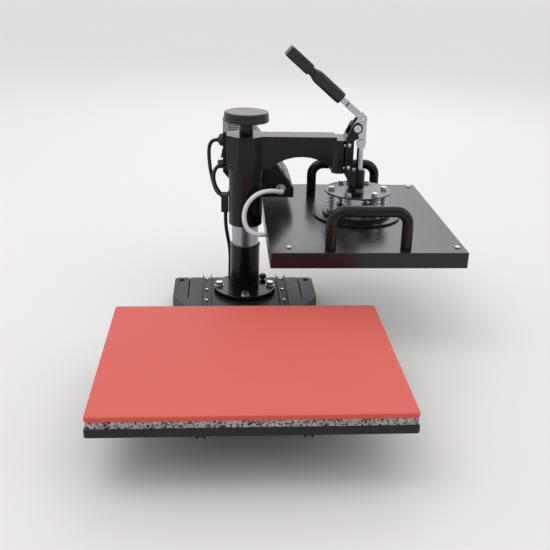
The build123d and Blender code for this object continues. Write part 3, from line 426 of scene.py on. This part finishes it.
nodeFinish = {
    "base_plate": satinPaint, "left_slide_rail": satinPaint, "right_slide_rail": satinPaint,
    "tray": satinPaint, "platen_brackets": satinPaint, "box_shell": satinPaint, "box_cover": satinPaint,
    "column_flange": glossPaint, "lower_tube": glossPaint, "sleeve": glossPaint, "arm": glossPaint,
    "toggle_bracket": glossPaint, "front_handle": glossPaint, "rear_handle": glossPaint,
    "heater_cover": coverPaint, "handwheel": wheelRubber(),
    "column_post": metals["steel"], "lever_fork": metals["chrome"], "toggle_link": metals["chrome"],
    "plunger_rod": metals["chrome"], "lead_gland": metals["chrome"],
    "flange_bolts": metals["zinc"], "rail_screws": metals["zinc"], "bracket_bolts": metals["zinc"],
    "lever_pivot_pins": metals["zinc"], "crank_pin": metals["zinc"], "float_bolts": metals["zinc"],
    "cover_screws": metals["zinc"], "spring_plate": metals["gunmetal"],
    "left_runner": satinPaint, "right_runner": satinPaint, "spindle": glossPaint,
    "pressure_plate": glossPaint, "column_bush": glossPaint, "heating_plate": metals["cast"],
    "post_nut": metals["bronze"], "guide_bush": metals["gunmetal"],
    "rubber_feet": plastics["rubber"], "insulation_mat": fibreMat(),
    "lever_grip": plastics["grained"], "lever_head": plastics["grained"], "stop_knob": plastics["grained"],
    "mains_gland": plastics["grained"], "fuse_holder": plastics["grained"], "cord_clip": plastics["grained"],
    "rocker_switch": plastics["grained"], "mains_plug": plastics["grained"],
    "control_panel": panelFilm(), "display_window": smokedWindow(),
    "set_button": plastics["keys"], "down_button": plastics["keys"], "up_button": plastics["keys"],
    "controller_board": plastics["board"],
}
# worn edges, in millimetres
edgeRound = {
    "default": 0.5, "handwheel": 0.8, "arm": 1.2, "base_plate": 0.9, "heater_cover": 0.7, "lever_head": 0.7,
}


def dressNode(name, material):
    node = nodes[name]
    node.data.materials.clear()
    node.data.materials.append(material)
    node.data.shade_smooth()
    weld = node.modifiers.new("weld", "WELD")
    weld.merge_threshold = 0.00001
    bevel = node.modifiers.new("worn edges", "BEVEL")
    bevel.width = edgeRound.get(name, edgeRound["default"]) * mm
    bevel.segments = 2
    bevel.limit_method = "ANGLE"
    bevel.angle_limit = radians(40)
    bevel.harden_normals = True
    node.modifiers.new("flat faces", "WEIGHTED_NORMAL")


for name, material in nodeFinish.items():
    dressNode(name, material)
print("CAD nodes dressed")


# helpers for the pieces made here

def meshPiece(name, bm, material):
    mesh = bpy.data.meshes.new(name)
    bmesh.ops.recalc_face_normals(bm, faces=bm.faces)
    bm.to_mesh(mesh)
    bm.free()
    mesh.shade_smooth()
    mesh.materials.append(material)
    piece = bpy.data.objects.new(name, mesh)
    bpy.context.scene.collection.objects.link(piece)
    return piece


# a closed tube of round section along a list of close points; U goes round it and V along it, in metres
def tubeMesh(bm, line, radius, sides):
    uv = bm.loops.layers.uv.verify()
    rings = []
    travel = [0.0]
    turned = Vector((0.31, 0.85, 0.42))
    for i, point in enumerate(line):
        ahead = (line[min(i + 1, len(line) - 1)] - line[max(i - 1, 0)]).normalized()
        turned = (turned - ahead * turned.dot(ahead)).normalized()
        side = ahead.cross(turned)
        ring = []
        for k in range(sides):
            angle = 2 * pi * k / sides
            ring.append(bm.verts.new(point + (turned * cos(angle) + side * sin(angle)) * radius))
        rings.append(ring)
        if i:
            travel.append(travel[-1] + (point - line[i - 1]).length)
    for i in range(len(rings) - 1):
        for k in range(sides):
            nextK = (k + 1) % sides
            face = bm.faces.new((rings[i][k], rings[i][nextK], rings[i + 1][nextK], rings[i + 1][k]))
            corners = ((k, i), (k + 1, i), (k + 1, i + 1), (k, i + 1))
            for loop, (u, v) in zip(face.loops, corners):
                loop[uv].uv = (u / sides, travel[v])
    bm.faces.new(reversed(rings[0]))
    bm.faces.new(rings[-1])


# the cord's own curve: a NURBS spline with the route as its control points
def cordCurve(name, route, fine):
    curve = bpy.data.curves.new(name, "CURVE")
    curve.dimensions = "3D"
    curve.resolution_u = fine
    spline = curve.splines.new("NURBS")
    spline.points.add(len(route) - 1)
    for point, place in zip(spline.points, route):
        point.co = (*[value * mm for value in place], 1)
    spline.order_u = 3
    spline.use_endpoint_u = True
    piece = bpy.data.objects.new(name, curve)
    bpy.context.scene.collection.objects.link(piece)
    return piece


# points along a cord's curve, read from the curve itself
def curveLine(piece):
    mesh = bpy.data.meshes.new_from_object(piece)
    line = [vertex.co.copy() for vertex in mesh.vertices]
    bpy.data.meshes.remove(mesh)
    bpy.data.objects.remove(piece)
    return line


def lineLength(line):
    return sum((b - a).length for a, b in zip(line, line[1:]))


# cords, in millimetres, on the same points as the CAD model's routes

mains = {
    "thick": 6.4, "upperLength": 0.26, "lowerLength": 0.9,
    "upper": [(-47.2, 60.0, 283.0), (-54.2, 59.8, 282.4), (-59.8, 58.4, 276.8), (-61.8, 55.8, 267.0),
              (-61.6, 52.0, 254.5), (-60.2, 47.5, 240.0), (-57.4, 43.0, 225.0), (-53.6, 39.0, 210.5),
              (-49.6, 36.6, 199.8), (-42.6, 35.4, 192.2), (-33.2, 35.4, 191.0), (-25.8, 36.0, 196.8),
              (-23.4, 36.6, 207.0), (-23.4, 35.6, 219.5), (-23.6, 33.6, 231.0), (-26.6, 31.0, 241.6),
              (-34.8, 28.6, 248.0), (-45.2, 25.8, 246.8), (-52.2, 22.8, 239.0), (-54.2, 20.0, 227.6),
              (-51.8, 18.0, 215.6), (-46.2, 16.4, 205.2), (-39.2, 14.8, 196.8), (-33.8, 14.0, 187.0)],
    "lower": [(-33.5, 14.0, 170.7), (-33.5, 14.0, 155.0), (-32.4, 20.0, 138.0), (-29.4, 31.0, 117.0),
              (-26.0, 42.5, 95.0), (-24.6, 53.0, 70.0), (-25.0, 60.6, 46.0), (-25.2, 65.0, 28.0),
              (-22.4, 67.0, 15.0), (-15.4, 67.4, 7.0), (-7.0, 67.0, 3.7)],
    "tail": [(88.0, 97.0, 9.6), (64.0, 93.5, 9.6), (36.0, 87.0, 9.6), (14.0, 80.5, 9.5), (0.1, 78.0, 9.4)],
}
hank = {
    "left": 27.6, "right": 92.0, "middle": 87.1, "reach": 24.4, "turns": 2, "inner": 13.0,
    "low": 3.2, "high": 9.5,
}


# racetrack turns that wind inwards flat on the table, then one half turn on top of them
def hankRoute():
    route = []
    for turn in range(hank["turns"] + 1):
        last = turn == hank["turns"]
        for k in range(7 if last else 14):
            wound = turn + k / 14
            reach = hank["reach"] - mains["thick"] * wound
            height = hank["low"]
            if last:
                reach = hank["inner"]
                height = hank["low"] + (hank["high"] - hank["low"]) * min(1.0, k / 2)
            end = hank["right"] if k < 7 else hank["left"]
            angle = radians(-90 + 30 * (k % 7)) + (pi if k >= 7 else 0)
            route.append((end + reach * cos(angle), hank["middle"] + reach * sin(angle), height))
    return route


def makeUpperLead():
    lead = cordCurve("mains_lead_loop", mains["upper"], 10)
    lead.data.bevel_depth = mains["thick"] / 2 * mm
    lead.data.bevel_resolution = 6
    lead.data.use_fill_caps = True
    lead.data.materials.append(plastics["sheath"])
    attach(lead, "head")
    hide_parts("mains_lead_upper")


def makeLowerLead():
    route = mains["lower"] + hankRoute() + mains["tail"]
    line = curveLine(cordCurve("mains_lead", route, 8))
    bm = bmesh.new()
    tubeMesh(bm, line, mains["thick"] / 2 * mm, 14)
    lead = meshPiece("mains_lead", bm, plastics["sheath"])
    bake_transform(lead)
    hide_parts("mains_lead_lower", "mains_lead_hank")
    length = lineLength(line)
    print("mains lead below the clip", round(length, 3), "m")


heater = {
    "thick": 7.5, "length": 0.192,
    "route": [(62.0, 28.4, 203.0), (61.8, 8.0, 205.5), (57.0, -14.0, 212.0), (42.0, -33.0, 220.0),
              (22.0, -42.0, 219.5), (6.0, -46.0, 208.5), (-3.0, -49.0, 192.0), (-4.0, -52.0, 174.0),
              (2.0, -55.5, 159.5), (13.5, -58.5, 153.2), (24.0, -60.0, 153.0), (31.8, -60.0, 153.0)],
}


def makeHeaterLead():
    line = curveLine(cordCurve("sleeved_lead", heater["route"], 8))
    bm = bmesh.new()
    tubeMesh(bm, line, heater["thick"] / 2 * mm, 20)
    lead = meshPiece("sleeved_heater_lead", bm, braid)
    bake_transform(lead)
    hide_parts("heater_lead")


makeUpperLead()
makeLowerLead()
makeHeaterLead()
print("cords laid")


# the lower platen's two pads

pads = {
    "silicone": {"name": "silicone_mat", "node": "silicone_pad", "material": siliconeSkin, "fill": 1.0,
                 "edge": 1.1, "corner": 4.0, "side": 5, "wander": 0.25, "step": 0.006},
    "sponge": {"name": "foam_pad", "node": "sponge_pad", "material": foam, "fill": 0.9,
               "edge": 0.5, "corner": 3.0, "side": 9, "wander": 0.55, "step": 0.0025},
}


# a slab with soft edges: rings run from the middle of the underside round the edge to the middle of the top
def softSlab(look, low, high):
    bm = bmesh.new()
    half = [(high[i] - low[i]) / 2 for i in range(2)]
    middle = (high + low) / 2
    corner, edge = look["corner"] * mm, look["edge"] * mm
    outline = []
    for signX, signY, start in ((1, 1, 0), (-1, 1, 90), (-1, -1, 180), (1, -1, 270)):
        for k in range(7):
            angle = radians(start + 15 * k)
            outline.append((signX * (half[0] - corner), signY * (half[1] - corner), cos(angle), sin(angle)))
    dense = []
    for first, second in zip(outline, outline[1:] + outline[:1]):
        gap = Vector((second[0] - first[0], second[1] - first[1])).length
        count = max(1, round(gap / look["step"]))
        for k in range(count):
            share = k / count
            dense.append([a + (b - a) * share for a, b in zip(first, second)])
    profile = []
    for inward in (0.94, 0.6, 0.2, 0.05):
        profile.append((inward, 0.0, low.z))
    for k in range(4):
        angle = pi / 2 * k / 3
        profile.append((0.0, -edge + edge * sin(angle), low.z + edge - edge * cos(angle)))
    for k in range(1, look["side"]):
        profile.append((0.0, 0.0, low.z + edge + (high.z - low.z - 2 * edge) * k / look["side"]))
    for k in range(4):
        angle = pi / 2 * k / 3
        profile.append((0.0, -edge + edge * cos(angle), high.z - edge + edge * sin(angle)))
    for inward in (0.05, 0.2, 0.6, 0.94):
        profile.append((inward, 0.0, high.z))
    rings = []
    for inward, outset, z in profile:
        ring = []
        for x, y, nx, ny in dense:
            out = -edge if inward else outset
            px = (x + nx * (corner + out)) * (1 - inward)
            py = (y + ny * (corner + out)) * (1 - inward)
            ring.append(bm.verts.new((middle.x + px, middle.y + py, z)))
        rings.append(ring)
    for first, second in zip(rings, rings[1:]):
        for k in range(len(dense)):
            nextK = (k + 1) % len(dense)
            bm.faces.new((first[k], first[nextK], second[nextK], second[k]))
    bm.faces.new(reversed(rings[0]))
    bm.faces.new(rings[-1])
    for ring in rings[4:-4]:
        for vertex in ring:
            ripple = noise.noise(vertex.co * 220.0) * 0.5 + noise.noise(vertex.co * 35.0) * 0.5
            across, along = (vertex.co.x - middle.x) / half[0], (vertex.co.y - middle.y) / half[1]
            if abs(across) > abs(along):
                outward = Vector((1 if across > 0 else -1, 0, 0))
            else:
                outward = Vector((0, 1 if along > 0 else -1, 0))
            vertex.co += outward * (ripple - 0.6) * look["wander"] * mm
    return meshPiece(look["name"], bm, look["material"])


def makePads():
    for slot, look in pads.items():
        low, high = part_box(look["node"])
        pad = softSlab(look, low, high)
        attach(pad, "drawer")
        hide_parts(look["node"])


makePads()
print("pads made")


# the springs round the six bolts

coil = {"centre": (189.5, 0.0), "circle": 44.5, "count": 6, "reach": 5.7, "wire": 0.95,
        "turns": 6.5, "shut": 0.9, "steps": 190, "sides": 8, "keep": 0.878}


def makeSprings():
    low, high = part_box("plate_springs")
    bm = bmesh.new()
    wire = coil["wire"] * mm
    for k in range(coil["count"]):
        turn = 2 * pi * k / coil["count"]
        x = (coil["centre"][0] + coil["circle"] * cos(turn)) * mm
        y = (coil["centre"][1] + coil["circle"] * sin(turn)) * mm
        line = []
        for step in range(coil["steps"] + 1):
            share = step / coil["steps"]
            wound = share * coil["turns"]
            shut = coil["shut"]
            opened = min(max((wound - shut) / (coil["turns"] - 2 * shut), 0.0), 1.0)
            climb = wire + 2 * wire * (min(wound, shut) + max(wound - coil["turns"] + shut, 0.0))
            rise = (high.z - low.z) - 2 * wire - 4 * wire * shut
            angle = 2 * pi * wound + turn
            line.append(Vector((x + coil["reach"] * mm * cos(angle), y + coil["reach"] * mm * sin(angle),
                                low.z + climb + rise * opened)))
        tubeMesh(bm, line, wire, coil["sides"])
    springs = meshPiece("coil_springs", bm, metals["chrome"])
    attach(springs, "plunger")
    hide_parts("plate_springs")
    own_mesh(springs)


makeSprings()
print("springs wound")


# floor and light

studio = {
    "floorHalf": 30.0,
    "key": {"place": (-0.9, -0.5, 2.2), "size": 1.5, "power": 9.0},
    "fill": {"place": (2.0, -1.3, 1.3), "size": 1.2, "power": 3.0},
    "back": {"place": (0.4, 1.9, 1.7), "size": 2.0, "power": 9.0},
    "sweep": (1.08, 1.06, 1.13),           # the light from above and behind
    "room": (0.4, 0.39, 0.41),             # the darker room on the camera's side
    "lean": 0.55,                          # how much the back counts beside overhead
    "fade": (-0.15, 0.5),                  # where the room gives way to the sweep
    "aim": (0, 0, 0.15),                   # all three lights point here
}


def makeFloor():
    bm = bmesh.new()
    bmesh.ops.create_grid(bm, x_segments=8, y_segments=8, size=studio["floorHalf"])
    floor = meshPiece("studio_floor", bm, floorPaper())


def makeLights():
    for name in ("key", "fill", "back"):
        look = studio[name]
        light = bpy.data.objects.new(name, bpy.data.lights.new(name, "AREA"))
        light.data.shape = "DISK"
        light.data.size = look["size"]
        light.data.energy = look["power"]
        light.location = look["place"]
        towards = Vector(studio["aim"]) - light.location
        light.rotation_euler = towards.to_track_quat("-Z", "Y").to_euler()
        bpy.context.scene.collection.objects.link(light)


# bright overhead and behind the press, dim on the camera's side
def makeWorld():
    world = bpy.data.worlds.new("studio")
    world.use_nodes = True
    tree = world.node_tree
    points = tree.nodes.new("ShaderNodeTexCoord")
    split = tree.nodes.new("ShaderNodeSeparateXYZ")
    lean = tree.nodes.new("ShaderNodeMath")
    lean.operation = "MULTIPLY_ADD"
    lean.inputs[1].default_value = studio["lean"]
    lift = tree.nodes.new("ShaderNodeMapRange")
    lift.interpolation_type = "SMOOTHSTEP"
    lift.inputs["From Min"].default_value, lift.inputs["From Max"].default_value = studio["fade"]
    sky = tree.nodes.new("ShaderNodeMix")
    sky.data_type = "RGBA"
    sky.inputs[6].default_value = (*studio["room"], 1)
    sky.inputs[7].default_value = (*studio["sweep"], 1)
    tree.links.new(points.outputs["Generated"], split.inputs[0])
    tree.links.new(split.outputs["Y"], lean.inputs[0])
    tree.links.new(split.outputs["Z"], lean.inputs[2])
    tree.links.new(lean.outputs[0], lift.inputs["Value"])
    tree.links.new(lift.outputs[0], sky.inputs[0])
    tree.links.new(sky.outputs[2], tree.nodes["Background"].inputs["Color"])
    bpy.context.scene.world = world
    bpy.context.scene.view_settings.view_transform = "Standard"


makeFloor()
makeLights()
makeWorld()
print("studio lit")
